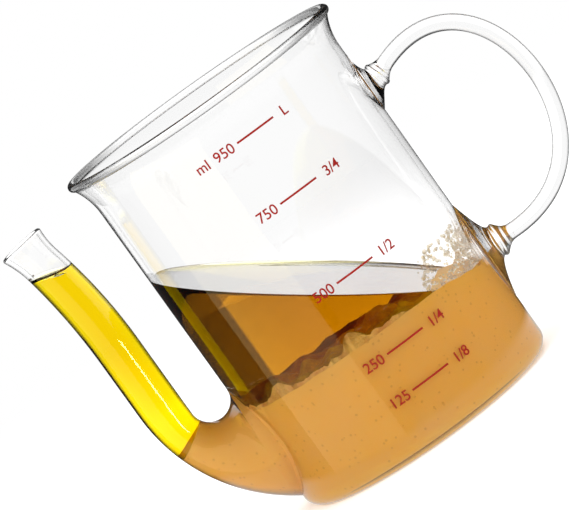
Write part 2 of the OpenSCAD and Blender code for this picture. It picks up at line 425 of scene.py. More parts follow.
def mirrored(tree, path):
    """1 for a ray that was mirrored by a surface, 0 for one that came through it."""
    glossy, through = path.outputs["Is Glossy Ray"], path.outputs["Is Transmission Ray"]
    return math_node(tree, "SUBTRACT", glossy, through, clamp=True)


def noise_field(tree, place, size, detail, roughness):
    """Noise with spots of a given size."""
    scale = math_node(tree, "DIVIDE", 1.0, size)
    inputs = {"Vector": place, "Scale": scale, "Detail": detail, "Roughness": roughness}
    return put(tree, "ShaderNodeTexNoise", inputs).outputs["Fac"]


def shader_group(name, inputs, output):
    """A shader node group with named float inputs and one float output, and its two end nodes."""
    tree = bpy.data.node_groups.new(name, "ShaderNodeTree")
    for label, value in inputs.items():
        tree.interface.new_socket(label, in_out="INPUT", socket_type="NodeSocketFloat").default_value = value
    tree.interface.new_socket(output, in_out="OUTPUT", socket_type="NodeSocketFloat")
    return tree, tree.nodes.new("NodeGroupInput").outputs, tree.nodes.new("NodeGroupOutput").inputs


def wave_group():
    """Slow waves of glass worked by hand, or of a still liquid's skin: a height from 0 to 1."""
    tree, given, out = shader_group("slow_waves", {"Wave length": 0.02, "Stretch": 0.4}, "Height")
    stretch = put(tree, "ShaderNodeCombineXYZ", {"X": 1.0, "Y": 1.0, "Z": given["Stretch"]})
    inputs = {0: object_coordinates(tree), 1: stretch.outputs["Vector"]}
    place = put(tree, "ShaderNodeVectorMath", inputs, operation="MULTIPLY").outputs["Vector"]
    tree.links.new(noise_field(tree, place, given["Wave length"], 1.5, 0.4), out["Height"])
    return tree


def grain_group():
    """Separate grains in a liquid or a print: a mask that is 1 on a grain."""
    tree, given, out = shader_group("grains", {"Grain size": 0.0006, "Share": 0.2}, "Mask")
    scale = math_node(tree, "DIVIDE", 1.0, given["Grain size"])
    inputs = {"Vector": object_coordinates(tree), "Scale": scale, "Randomness": 1.0}
    cells = put(tree, "ShaderNodeTexVoronoi", inputs).outputs
    near = math_node(tree, "LESS_THAN", cells["Distance"], 0.42)
    chance = put(tree, "ShaderNodeSeparateColor", {"Color": cells["Color"]}).outputs["Red"]
    chosen = math_node(tree, "LESS_THAN", chance, given["Share"])
    tree.links.new(math_node(tree, "MULTIPLY", near, chosen), out["Mask"])
    return tree


def cloud_group():
    """Soft clouds of colour: a mask from 0 to 1."""
    tree, given, out = shader_group("clouds", {"Cloud size": 0.02, "Contrast": 1.0}, "Mask")
    field = noise_field(tree, object_coordinates(tree), given["Cloud size"], 5.0, 0.55)
    centred = math_node(tree, "SUBTRACT", field, 0.5)
    spread = math_node(tree, "MULTIPLY", centred, given["Contrast"])
    tree.links.new(math_node(tree, "ADD", spread, 0.5, clamp=True), out["Mask"])
    return tree


GROUPS = {"slow_waves": wave_group, "grains": grain_group, "clouds": cloud_group}


def use_group(tree, name, **values):
    """A shared group placed in a material with its own values, and its output."""
    group = bpy.data.node_groups.get(name) or GROUPS[name]()
    inputs = {label.replace("_", " ").capitalize(): value for label, value in values.items()}
    made = put(tree, "ShaderNodeGroup", node_tree=group)
    return set_inputs(tree, made, inputs).outputs[0]


def new_material(name):
    """An empty node material, its tree, its Principled shader and its output."""
    material = bpy.data.materials.new(name)
    material.use_nodes = True
    tree = material.node_tree
    tree.nodes.clear()
    shader = tree.nodes.new("ShaderNodeBsdfPrincipled")
    out = put(tree, "ShaderNodeOutputMaterial", {"Surface": shader.outputs["BSDF"]})
    return material, tree, shader, out


def bump(tree, height, distance):
    """The normal of a bump with a given depth in metres."""
    return put(tree, "ShaderNodeBump", {"Height": height, "Distance": distance}).outputs["Normal"]


def grown(tree, mask, least, spread):
    """A least value that grows with a mask."""
    return math_node(tree, "ADD", math_node(tree, "MULTIPLY", mask, spread), least)


# ---------------------------------------------------------------- materials


# Painted shade that draws the glass's dark outlines: how much of its colour is kept as its face turns from 0,
# square on, to 1, edge on: stops (place, share or colour) for thin walls, the spout, the solid rod and the
# bead
THIN_EDGE_SHADE = [(0.0, 1.0), (0.82, 0.98), (0.88, 0.45), (0.94, 0.12), (1.0, 0.03)]
TUBE_EDGE_SHADE = [(0.0, 1.0), (0.55, 0.98), (0.66, 0.55), (0.78, 0.18), (1.0, 0.04)]
ROD_EDGE_SHADE = [(0.0, 0.985), (0.28, 0.97), (0.4, 0.72), (0.52, 0.3), (0.7, 0.08), (1.0, 0.03)]
BEAD_EDGE_SHADE = [(0.0, 1.0), (0.2, 0.95), (0.34, 0.4), (0.5, 0.1), (1.0, 0.02)]
# Height over which the thin wall becomes the solid bead
BEAD_FADE = 0.6 * MM
# Colour that a joint may show where it is seen edge on, and how much of it there shows at a weld
JOINT_BROWN = (0.34, 0.17, 0.045)
JOINT_ALPHA = 0.9
# Painted shade on the fat's sides in the same way, whose dark parts are brown
VESSEL_FAT_EDGE_SHADE = [
    (0.0, 1.0),
    (0.122, 1.0),
    (0.129, (0.24, 0.2, 0.15)),
    (0.2, (0.21, 0.17, 0.12)),
    (0.4, 0.18),
]
SPOUT_FAT_EDGE_SHADE = [(0.0, 1.0), (0.29, 1.0), (0.36, 0.5), (0.46, 0.25)]
# Absorption colours of the fat, which hold at one density
VESSEL_FAT_TINT = (0.984, 0.966, 0)
SPOUT_FAT_TINT = (0.993, 0.942, 0)
FAT_DENSITY = 600.0
FREE_SURFACE = "free_surface"


def glass_material(name, stops, solid_above=None):
    """Clear borosilicate glass, with painted shade that darkens it where it is seen edge on, and solid above
    a height in metres.
    """
    material, tree, shader, _ = new_material(name)
    turn = facing(tree)
    # Painted shade: the colour darkens as the face turns edge on, which draws the glass's dark outlines in
    # every view
    edge = ramp(tree, turn, stops)
    if solid_above:
        height = put(tree, "ShaderNodeSeparateXYZ", {0: object_coordinates(tree)}).outputs["Z"]
        solid = map_range(tree, height, solid_above, solid_above + BEAD_FADE)
        edge = colour_mix(tree, solid, edge, ramp(tree, turn, BEAD_EDGE_SHADE))
    smudge = use_group(tree, "clouds", cloud_size=0.05, contrast=1.6)
    waves = use_group(tree, "slow_waves", wave_length=0.03, stretch=0.35)
    glass = {
        "Base Color": edge,
        "Transmission Weight": 1,
        "IOR": 1.47,
        "Roughness": math_node(tree, "MULTIPLY", smudge, 0.012),
        "Normal": bump(tree, waves, 0.00025),
    }
    set_inputs(tree, shader, glass)
    return material


def joint_material(name, edge_alpha=0.0):
    """The flame-fused joint inside the glass, which shows, if at all, only where it is seen edge on."""
    material, tree, shader, _ = new_material(name)
    joint = {"Base Color": JOINT_BROWN, "Specular IOR Level": 0, "Alpha": 0}
    if edge_alpha:
        joint["Alpha"] = ramp(tree, facing(tree), [(0.0, 0.0), (0.72, 0.0), (0.9, edge_alpha)])
    set_inputs(tree, shader, joint)
    return material


def enamel_material(colours):
    """Maroon enamel fired on the glass, with the fine pinholes of a screen print."""
    material, tree, shader, _ = new_material("red_enamel")
    tone = use_group(tree, "clouds", cloud_size=0.004, contrast=1.5)
    pinholes = use_group(tree, "grains", grain_size=0.0003, share=0.15)
    enamel = {
        "Base Color": colour_mix(tree, tone, colours.enamel, [1.3 * c for c in colours.enamel]),
        "Specular IOR Level": 0.15,
        "Roughness": grown(tree, pinholes, 0.55, 0.2),
        "Normal": bump(tree, pinholes, 0.00003),
    }
    set_inputs(tree, shader, enamel)
    return material


def gravy_material(colours):
    """Thick opaque gravy with pale streaks and fine grains."""
    material, tree, shader, _ = new_material("brown_gravy")
    streaks = use_group(tree, "clouds", cloud_size=0.03, contrast=2.2)
    body = colour_mix(tree, streaks, colours.gravy, colours.gravy_pale)
    grains = use_group(tree, "grains", grain_size=0.0011, share=0.05)
    some = math_node(tree, "MULTIPLY", grains, 0.3)
    gravy = {
        "Base Color": colour_mix(tree, some, body, colours.gravy_grain),
        "Roughness": grown(tree, streaks, 0.35, 0.2),
        "Specular IOR Level": 0.1,
        "Subsurface Weight": 0.15,
        "Subsurface Radius": (1.0, 0.5, 0.2),
        "Subsurface Scale": 0.003,
        "Normal": bump(tree, grains, 0.00005),
    }
    set_inputs(tree, shader, gravy)
    return material


def fat_material(name, stops, tint):
    """Clear melted fat, yellow in a thin tube and amber in a wide one, with painted shade that darkens its
    side where it turns away.
    """
    material, tree, shader, out = new_material(name)
    free = put(tree, "ShaderNodeAttribute", attribute_name=FREE_SURFACE).outputs["Fac"]
    waves = use_group(tree, "slow_waves", wave_length=0.015, stretch=1.0)
    # Painted shade: the fat's colour darkens as its side turns edge on
    side = ramp(tree, facing(tree), stops)
    skin = ramp(tree, waves, [(0, 0.97), (1, 1.0)])
    fat = {
        "Base Color": colour_mix(tree, free, side, skin),
        "Transmission Weight": 1,
        "Roughness": 0,
        # The side is one with the glass, so that light only bends at the free surface
        "IOR": grown(tree, free, 1.0, 0.46),
        "Coat Weight": free,
        "Coat Roughness": 0,
        "Coat IOR": 1.5,
        "Normal": bump(tree, math_node(tree, "MULTIPLY", waves, free), 0.00006),
    }
    set_inputs(tree, shader, fat)
    depth = put(tree, "ShaderNodeVolumeAbsorption", {"Color": tint, "Density": FAT_DENSITY})
    tree.links.new(depth.outputs["Volume"], out.inputs["Volume"])
    return material


def scum_material(colours):
    """Browned solids that float between the gravy and the fat."""
    material, tree, shader, _ = new_material("browned_solids")
    tone = use_group(tree, "clouds", cloud_size=0.006, contrast=3.5)
    body = colour_mix(tree, tone, colours.scum_dark, colours.scum)
    grains = use_group(tree, "grains", grain_size=0.0008, share=0.3)
    pale = math_node(tree, "MULTIPLY", grains, 0.5)
    scum = {
        "Base Color": colour_mix(tree, pale, body, colours.gravy),
        "Roughness": grown(tree, tone, 0.3, 0.3),
        "Normal": bump(tree, tone, 0.0006),
    }
    set_inputs(tree, shader, scum)
    return material


def froth_material(colours):
    """Clear bubbles that are pale in the middle, with painted shade that darkens their rims."""
    material, tree, shader, _ = new_material("froth")
    # Painted shade: the bubbles' colour darkens towards their rims as they turn edge on
    rim = ramp(tree, facing(tree), [(0.0, 1.0), (0.5, 1.0), (0.68, 0.7), (0.85, 0.4)])
    tone = use_group(tree, "clouds", cloud_size=0.003, contrast=2.5)
    body = colour_mix(tree, tone, colours.froth, [mix(c, 1, 0.6) for c in colours.froth])
    froth = {
        "Base Color": colour_mix(tree, 1.0, body, rim, "MULTIPLY"),
        "Transmission Weight": 0.8,
        "IOR": 1.15,
        "Roughness": math_node(tree, "MULTIPLY", tone, 0.1),
    }
    set_inputs(tree, shader, froth)
    return material


# Strength of a black card, and colour of a lit one
BLACK_CARD = 0.04
WARM = (1.0, 0.84, 0.45, 1.0)
CARD_RADIUS = 0.5
CARD_STEPS = 24
# Curved cards round the object: name, strength, start and end in degrees from the back, clockwise from
# above, and lower and upper height
CARDS = (
    ("flag_right", BLACK_CARD, 4, 199, -0.01, 0.55),
    ("softbox_left", 1.3, 199, 268, -0.2, 0.55),
    ("flag_left", BLACK_CARD, 268, 300, -0.01, 0.55),
    ("flag_low_left", BLACK_CARD, 300, 332, -0.01, 0.055),
    ("flag_far_left", BLACK_CARD, 332, 356, -0.01, 0.55),
    ("skirt", BLACK_CARD, 268, 559, -0.6, -0.01),
    ("skirt_left", BLACK_CARD, 199, 268, -0.6, -0.2),
)
# Small flat card beside the spout, lit on its left face only: strength, X, and corners in Y and Z
SPOUT_CARD = 26.0
SPOUT_CARD_X = -15 * MM
SPOUT_CARD_CORNERS = ((-75, 50), (-75, 80), (-105, 80), (-105, 50))


def card_material(name, strength, one_sided=False):
    """A studio card, black or lit, that is only seen mirrored in the glass."""
    material, tree, shader, out = new_material(name)
    tree.nodes.remove(shader)
    uneven = math_node(tree, "ADD", use_group(tree, "clouds", cloud_size=0.2, contrast=0.3), 0.5)
    if one_sided:
        front = math_node(tree, "SUBTRACT", 1.0, put(tree, "ShaderNodeNewGeometry").outputs["Backfacing"])
        uneven = math_node(tree, "MULTIPLY", uneven, front)
    shade = colour_mix(tree, 1.0, WARM if strength > 1 else WHITE, uneven, "MULTIPLY")
    seen = mirrored(tree, put(tree, "ShaderNodeLightPath"))
    both = either(tree, seen, see_through(tree), glow(tree, strength, shade))
    tree.links.new(both, out.inputs["Surface"])
    material.cycles.emission_sampling = "NONE"
    return material


def stage_card(obj, material):
    """Gives a card its material, and lets only mirrored rays see it."""
    obj.data.materials.append(material)
    obj.visible_camera = False
    obj.visible_diffuse = False
    obj.visible_shadow = False


def make_card(name, strength, start, end, low_z, high_z):
    """An upright curved card round the object."""
    bm = bmesh.new()
    low, high = [], []
    for i in range(CARD_STEPS + 1):
        a = math.radians(90 - mix(start, end, i / CARD_STEPS))
        x, y = CARD_RADIUS * math.cos(a), CARD_RADIUS * math.sin(a)
        low.append(bm.verts.new((x, y, low_z)))
        high.append(bm.verts.new((x, y, high_z)))
    for i in range(CARD_STEPS):
        bm.faces.new((low[i], low[i + 1], high[i + 1], high[i]))
    stage_card(make_object(name, bm, 0), card_material(f"{name}_card", strength))


def make_spout_card():
    """The flat card that gives the spout its highlight."""
    bm = bmesh.new()
    bm.faces.new([bm.verts.new((SPOUT_CARD_X, y * MM, z * MM)) for y, z in SPOUT_CARD_CORNERS])
    card = make_object("spout_card", bm, 0)
    if card.data.polygons[0].normal.x > 0:
        card.data.flip_normals()
    stage_card(card, card_material("spout_card", SPOUT_CARD, one_sided=True))


# Extra light of the floor where it is seen, so that it is as pale as the white round it
FLOOR_LIFT = 0.22
# Distances from the axis between which the floor seen through the base stops being plain white: painted light
# that hides the object's shadow there
UNDER = (0.055, 0.075)
# Strength of the bright pool that the object mirrors, and the distances between which it ends
POOL_LIGHT = 0.75
POOL = (0.1, 0.12)
# Shares of the floor's radius between which it fades into the white round it
FLOOR_FADE = (0.2, 0.7)


def floor_material(colours, radius):
    """Plain pale floor that keeps the object's shadow and fades into the white round it."""
    material, tree, shader, out = new_material("studio_floor")
    clouds = use_group(tree, "clouds", cloud_size=0.1, contrast=0.6)
    base = colour_mix(tree, clouds, colours.floor, [mix(c, 1, 0.5) for c in colours.floor])
    set_inputs(tree, shader, {"Base Color": base, "Roughness": 0.8, "Specular IOR Level": 0.1})
    path = put(tree, "ShaderNodeLightPath")
    through = path.outputs["Is Transmission Ray"]
    seen = math_node(tree, "MAXIMUM", path.outputs["Is Camera Ray"], through)
    lift = glow(tree, math_node(tree, "MULTIPLY", seen, FLOOR_LIFT))
    lit = put(tree, "ShaderNodeAddShader", {0: shader.outputs["BSDF"], 1: lift}).outputs[0]
    away = put(tree, "ShaderNodeVectorMath", {0: object_coordinates(tree)}, operation="LENGTH")
    away = away.outputs["Value"]
    # Painted light: a plain white glow on the floor seen through the base, which hides the object's shadow
    # there
    under = math_node(tree, "MULTIPLY", map_range(tree, away, *UNDER, 1, 0), through)
    fade = map_range(tree, away, *(share * radius for share in FLOOR_FADE), kind="SMOOTHSTEP")
    pale = either(tree, math_node(tree, "MAXIMUM", fade, under), lit, glow(tree, 1.0))
    # In a mirror only a bright pool round the object shows, and past it the cards, which reach lower down
    shown = either(tree, map_range(tree, away, *POOL), glow(tree, POOL_LIGHT), see_through(tree))
    tree.links.new(either(tree, mirrored(tree, path), pale, shown), out.inputs["Surface"])
    material.cycles.emission_sampling = "NONE"
    return material


# ---------------------------------------------------------------- outlines shared by pieces

VESSEL_SIDES = 256
SPOUT_SIDES = 96
ROD_SIDES = 48
ROOT_STEPS = 52
CORNER_STEPS = 12
ROW_H = 3 * MM
# How deep two fused pieces of glass share their joint
JOINT_T = 0.05 * MM
# How far a liquid reaches into the glass that holds it, so that no film of air is drawn between them
WETTING = 0.1 * MM
# Gap that is left between a liquid and the joint face in the glass, so that no two faces lie in one place
FACE_GAP = 0.02 * MM
# How much further an opaque body reaches, so that it covers a clear one
COVER = 0.03 * MM
# Material indexes of a piece of glass
CLEAR, FUSED = 0, 1


class Vessel:
    """Outline of the vessel about its axis."""

    def __init__(self, s):
        self.r = s.wall_d / 2
        self.s = s
        bead_r = s.bead_d / 2
        mid_r = s.flare_r + s.wall_t / 2
        flare_a = math.asin((s.flare_h - bead_r) / mid_r)
        self.flare_a = math.degrees(flare_a)
        self.flare_centre = Vector((self.r + s.flare_r, s.height - s.flare_h))
        self.bead_centre = self.flare_centre + mid_r * Vector((-math.cos(flare_a), math.sin(flare_a)))
        meet_a = math.asin(s.wall_t / s.bead_d)
        self.meet_a = math.degrees(meet_a)
        self.flare_end_a = self.flare_a - math.degrees(bead_r * math.cos(meet_a) / mid_r)
        self.bead_r = bead_r
        self.inner_r = self.r - s.wall_t
        self.inner_heel_r = s.heel_r - s.wall_t

    def outline(self):
        """The whole section, from the middle of the underside to the middle of the base's inside."""
        s = self.s
        back_a = 270 - self.flare_a
        points = [Vector((0, 0))]
        points += arc(Vector((self.r - s.heel_r, s.heel_r)), s.heel_r, -90, 0, CORNER_STEPS)
        points += arc(self.flare_centre, s.flare_r, 180, 180 - self.flare_end_a, CORNER_STEPS)
        points += arc(
            self.bead_centre, self.bead_r, back_a + self.meet_a - 360, back_a - self.meet_a, 2 * CORNER_STEPS
        )
        points += arc(self.flare_centre, s.flare_r + s.wall_t, 180 - self.flare_end_a, 180, CORNER_STEPS)
        points += self.inside(0)
        return divided(points, ROW_H)

    def inside(self, growth):
        """The inside of the heel and the base, grown into the glass."""
        heel = Vector((self.inner_r - self.inner_heel_r, self.s.base_t + self.inner_heel_r))
        points = arc(heel, self.inner_heel_r + growth, 0, -90, CORNER_STEPS)
        return points + [Vector((0, self.s.base_t - growth))]


class Spout:
    """Middle lines and rings of the spout's root and tube."""

    CROTCH_SHARE = 0.8
    BEND_STEPS = 16
    LIP_STEPS = 8
    EDGE_STEPS = 6
    EDGE_STOP = math.radians(75)

    def __init__(self, s, vessel):
        self.s = s
        self.vessel = vessel
        r = vessel.r
        self.tube_r = s.tube_d / 2
        self.tube_x = -(r + s.gap_w + self.tube_r)
        self.lean_z = (
            vessel.s.height - s.mouth_drop - s.lip_l * math.cos(s.lean_a) - s.lean_r * math.sin(s.lean_a)
        )
        run = s.gap_w + s.tube_d
        rise = s.root_top - s.root_low
        self.under_r = (run * run + rise * rise) / (2 * run)
        self.under_centre = Vector((-r - run + self.under_r, s.root_top))
        self.under_a = math.atan2(rise, self.under_r - run)
        self.crotch_r = s.gap_w / 2
        self.crotch_centre = Vector((-r - self.crotch_r, s.gap_floor + self.crotch_r))
        high, low = self.crotch_point(0), self.under_point(0)
        self.half_h = (high - low).length / 2
        self.hole_z = (high.y + low.y) / 2
        self.hole_r = s.hole_d / 2
        self.sink = math.sqrt(r * r - (s.root_w / 2 * (1 + s.root_spread)) ** 2) - MM
        self.edge_r = s.tube_wall / 2
        self.edge_w = s.lip_l - self.edge_r
        self.bend_end = self.bend_point(s.lean_a)
        self.lip_heading = Vector((-math.sin(s.lean_a), math.cos(s.lean_a)))
        self.mouth_heading = Vector((-math.sin(s.mouth_a), math.cos(s.mouth_a)))

    def bend_point(self, a):
        """Point of the tube's middle line where it has turned by an angle."""
        r = self.s.lean_r
        return Vector((self.tube_x - r * (1 - math.cos(a)), self.lean_z + r * math.sin(a)))

    def under_point(self, t):
        """Point of the root's underside."""
        return self.under_centre + self.under_r * heading(math.pi + self.under_a * (1 - t))

    def crotch_point(self, t):
        """Point of the inside of the bend."""
        if t < self.CROTCH_SHARE:
            a = math.pi * t / self.CROTCH_SHARE
            return self.crotch_centre + self.crotch_r * Vector((math.cos(a), -math.sin(a)))
        share = (t - self.CROTCH_SHARE) / (1 - self.CROTCH_SHARE)
        height = mix(self.crotch_centre.y, self.s.root_top, share)
        return Vector((self.crotch_centre.x - self.crotch_r, height))

    def root_ring(self, t, in_up, in_side, in_tube):
        """A ring of the root, drawn in from its outer face."""
        high, low = self.crotch_point(t), self.under_point(t)
        up = high - low
        side = mix(self.tube_r, self.s.root_w / 2, (1 - t) ** 2)
        fade = (1 - t) ** 3
        return ring(
            (high + low) / 2,
            math.atan2(up.y, up.x),
            up.length / 2 - mix(in_tube, in_up, fade),
            side - mix(in_tube, in_side, fade),
            SPOUT_SIDES,
        )

    def root_rings(self, first=0.0, last=1.0, **insets):
        """Rings of the root between two shares of its length."""
        return [self.root_ring(mix(first, last, k / ROOT_STEPS), **insets) for k in range(ROOT_STEPS + 1)]

    def channel_insets(self, growth=0.0):
        """How far the channel is drawn in from the outer face, less a growth into the glass."""
        return {
            "in_up": self.half_h - self.hole_r - growth,
            "in_side": self.s.root_w / 2 - self.hole_r - growth,
            "in_tube": self.s.tube_wall - growth,
        }

    def tube_rings(self, side, growth=0.0, edge=True):
        """Rings of the tube's outer face (side 1) or its bore (side -1)."""
        s = self.s
        r = self.tube_r - self.edge_r + side * self.edge_r + growth
        rings = []
        straight = math.ceil((self.lean_z - s.root_top) / (2 * ROW_H))
        for k in range(straight):
            z = mix(s.root_top, self.lean_z, k / straight)
            rings.append(ring(Vector((self.tube_x, z)), 0, r, r, SPOUT_SIDES))
        for k in range(self.BEND_STEPS + 1):
            a = s.lean_a * k / self.BEND_STEPS
            centre = self.bend_point(a)
            bend_r = r - s.neck_in * (k / self.BEND_STEPS) ** 2
            rings.append(ring(centre, a, bend_r, bend_r, SPOUT_SIDES))
        for k in range(1, self.LIP_STEPS + 1):
            share = k / self.LIP_STEPS
            lip_r = r + mix(-s.neck_in, s.lip_flare, share**2)
            centre = self.bend_end + self.edge_w * share * self.lip_heading
            rings.append(ring(centre, mix(s.lean_a, s.mouth_a, share), lip_r, lip_r, SPOUT_SIDES))
        if not edge:
            return rings
        for k in range(1, self.EDGE_STEPS + 1):
            a = self.EDGE_STOP * k / self.EDGE_STEPS
            edge_r = r + s.lip_flare - side * self.edge_r * (1 - math.cos(a))
            rise = self.edge_r * math.sin(a) * self.mouth_heading
            centre = self.bend_end + self.edge_w * self.lip_heading + rise
            rings.append(ring(centre, s.mouth_a, edge_r, edge_r, SPOUT_SIDES))
        return rings


def moved(points, shift):
    """A ring moved along."""
    return [p + shift for p in points]


def shared(context):
    """The vessel's and the spout's outlines."""
    vessel = Vessel(context.scene.separator_vessel)
    return vessel, Spout(context.scene.separator_spout, vessel)


# ---------------------------------------------------------------- glass


# How far a cutting tool reaches past what it cuts, at the sides and at the ends of the vessel
PAST = MM
PAST_ENDS = 5 * MM


def channel_tool(spout):
    """The way the liquid takes through the wall and the root, as a solid."""
    rings = spout.root_rings(**spout.channel_insets())
    sunk = [Vector((-spout.sink, p.y, p.z)) for p in rings[0]]
    inner = moved(sunk, Vector((2 * PAST, 0, 0)))
    outer = moved(rings[-1], Vector((0, 0, PAST)))
    return loft("channel", [inner, sunk, *rings, outer])


def core_tool(vessel):
    """A plain cylinder just inside the vessel's outer face, whose faces are joints."""
    r = vessel.r - JOINT_T
    below, above = -PAST_ENDS, vessel.s.height + PAST_ENDS
    outline = [Vector((0, below)), Vector((r, below)), Vector((r, above)), Vector((0, above))]
    return turned("core", outline, VESSEL_SIDES, index=FUSED)


def root_solid(spout):
    """The root without its channel, cut to the vessel."""
    rings = spout.root_rings(in_up=0, in_side=0, in_tube=0)
    grow = 1 + spout.s.root_spread
    hole_z = spout.hole_z
    sunk = [Vector((-spout.sink, p.y * grow, hole_z + (p.z - hole_z) * grow)) for p in rings[0]]
    solid = loft("spout_root_glass", [sunk, *rings], end_index=FUSED)
    combine(solid, core_tool(spout.vessel), "DIFFERENCE")
    return solid


def tube_solid(spout):
    """The tube with its bore."""
    solid = loft("spout_tube_glass", spout.tube_rings(1), start_index=FUSED)
    rings = spout.tube_rings(-1)
    lift = Vector((spout.mouth_heading.x, 0, spout.mouth_heading.y)) * PAST
    bore = loft("bore", [moved(rings[0], Vector((0, 0, -PAST))), *rings, moved(rings[-1], lift)])
    combine(solid, bore, "DIFFERENCE")
    return solid


# Half the arc of a weld ring's rounded edge, in degrees, and how far its front is drawn in, as a share of
# that edge's radius
RING_ARC = 60
RING_SHOULDER = 0.6


def weld_ring_outline(s, ring_r):
    """Section of a weld's ring about the rod: a rounded ring and a taper down to the rod."""
    rod_r = s.rod_d / 2
    edge_r = s.ring_t / 2
    front_r = ring_r - edge_r * RING_SHOULDER
    points = [Vector((0, -s.ring_t)), Vector((ring_r - edge_r, -s.ring_t))]
    points += arc(Vector((ring_r - edge_r, -edge_r)), edge_r, -RING_ARC, RING_ARC, CORNER_STEPS)
    for i in range(CORNER_STEPS + 1):
        share = i / CORNER_STEPS
        points.append(Vector((mix(front_r, rod_r, 1 - (1 - share) ** 2), s.weld_taper * share)))
    return points + [Vector((0, s.weld_taper))]


WELD_STEPS = 24
WELD_SPREAD = 1.7
WAIST_INSET = 0.4 * MM
# How far a weld's glass reaches into its ring, as a share of the ring's thickness
WELD_REACH = 0.3


def weld_solid(side, s, vessel, centre):
    """A drawn-out foot from the wall to its ring, for the upper or the lower side."""
    sizes = ("rise", "ring_r", "foot_h", "foot_w")
    rise, ring_r, foot_h, foot_w = (getattr(s, f"{side}_{size}") for size in sizes)
    r = vessel.r
    back = centre - s.ring_t * heading(rise)
    waist_r = ring_r - WAIST_INSET
    sunk = math.sqrt(r * r - foot_w * foot_w) - MM
    rings = [ring(Vector((sunk, centre.y)), -math.pi / 2, foot_h, foot_w, ROD_SIDES)]
    for k in range(WELD_STEPS + 1):
        share = k / WELD_STEPS
        spread = (1 - share) ** WELD_SPREAD
        middle = Vector((r, centre.y)).lerp(back, share)
        slope = rise * share - math.pi / 2
        half_up, half_side = mix(waist_r, foot_h, spread), mix(waist_r, foot_w, spread)
        rings.append(ring(middle, slope, half_up, half_side, ROD_SIDES))
    along = Vector((math.cos(rise), 0, math.sin(rise)))
    rings.append(moved(rings[-1], WELD_REACH * s.ring_t * along))
    solid = loft(f"handle_{side}_weld_glass", rings)
    turn = Vector((0, 0, 1)).rotation_difference(along).to_matrix().to_4x4()
    place = Matrix.Translation((centre.x, 0, centre.y)) @ turn
    collar = turned("collar", weld_ring_outline(s, ring_r), ROD_SIDES, end_index=FUSED, place=place)
    combine(solid, collar, "UNION")
    combine(solid, core_tool(vessel), "DIFFERENCE")
    return solid


ROD_STEPS = 120


def rod_solid(s, upper, lower):
    """The rod, one smooth pull of glass from one weld to the other."""
    up, down = heading(s.upper_rise), heading(s.lower_rise)
    p = [
        upper + s.weld_taper * up,
        upper + s.upper_pull * up,
        lower + s.lower_pull * down,
        lower + s.weld_taper * down,
    ]
    rings = []
    for k in range(ROD_STEPS + 1):
        t = k / ROD_STEPS
        u = 1 - t
        centre = u**3 * p[0] + 3 * u * u * t * p[1] + 3 * u * t * t * p[2] + t**3 * p[3]
        d = u * u * (p[1] - p[0]) + 2 * u * t * (p[2] - p[1]) + t * t * (p[3] - p[2])
        rings.append(ring(centre, math.atan2(d.y, d.x) - math.pi / 2, s.rod_d / 2, s.rod_d / 2, ROD_SIDES))
    return loft("handle_rod_glass", rings, FUSED, FUSED)


class SEPARATOR_OT_glass(bpy.types.Operator):
    """Make the vessel, its spout and its handle as one body of fused glass, in separate pieces"""

    bl_idname = "separator.glass"
    bl_label = "Glass"

    def execute(self, context):
        vessel, spout = shared(context)
        s = context.scene.separator_handle
        upper = Vector((vessel.r + s.upper_stand, s.upper_z))
        lower = Vector((vessel.r + s.lower_stand, s.lower_z))
        body = turned("vessel_glass", vessel.outline(), VESSEL_SIDES)
        root = root_solid(spout)
        upper_weld = weld_solid("upper", s, vessel, upper)
        lower_weld = weld_solid("lower", s, vessel, lower)
        for part in (root, upper_weld, lower_weld):
            combine(body, part, "DIFFERENCE", keep_tool=True)
        combine(body, channel_tool(spout), "DIFFERENCE")
        combine(root, channel_tool(spout), "DIFFERENCE")
        tube = tube_solid(spout)
        wet = (
            (gravy_solid(context, "wet_by_gravy", WETTING + COVER + FACE_GAP), (body, root)),
            (fat_solid(context, "wet_by_fat", WETTING + FACE_GAP), (body,)),
            (spout_fat_solid(context, "wet_by_spout_fat", WETTING + FACE_GAP), (root, tube)),
        )
        for liquid, parts in wet:
            for part in parts:
                combine(part, liquid, "DIFFERENCE", keep_tool=True)
            remove(liquid)
        thin = glass_material("clear_glass", THIN_EDGE_SHADE, solid_above=vessel.bead_centre.y - vessel.bead_r)
        tubular = glass_material("clear_glass_tube", TUBE_EDGE_SHADE)
        solid = glass_material("clear_glass_solid", ROD_EDGE_SHADE)
        plain = joint_material("fused_joint")
        brown = joint_material("fused_weld", JOINT_ALPHA)
        for obj, node, material, joint in (
            (body, "vessel", thin, brown),
            (root, "spout_root", tubular, plain),
            (tube, "spout_tube", tubular, plain),
            (rod_solid(s, upper, lower), "handle_rod", solid, plain),
            (upper_weld, "handle_upper_weld", solid, brown),
            (lower_weld, "handle_lower_weld", solid, brown),
        ):
            finish_piece(obj, [material, joint], [node])
        return {"FINISHED"}


# ---------------------------------------------------------------- printed scale

MARKS = {
    "mark_125": ("125", "1/8"),
    "mark_250": ("250", "1/4"),
    "mark_500": ("500", "1/2"),
    "mark_750": ("750", "3/4"),
    "mark_950": ("950", "L"),
}
TOP_MARK = "mark_950"
# The typeface: height of its digits as a share of its size, and how much its strokes are widened
DIGIT_SHARE = 0.729
STROKE_GROWTH = 0.008
# How far the numbers are sunk in the glass, and how far the CAD's lines stand out of it
ENAMEL_SUNK = 0.03 * MM
LINE_RISE = 0.2 * MM


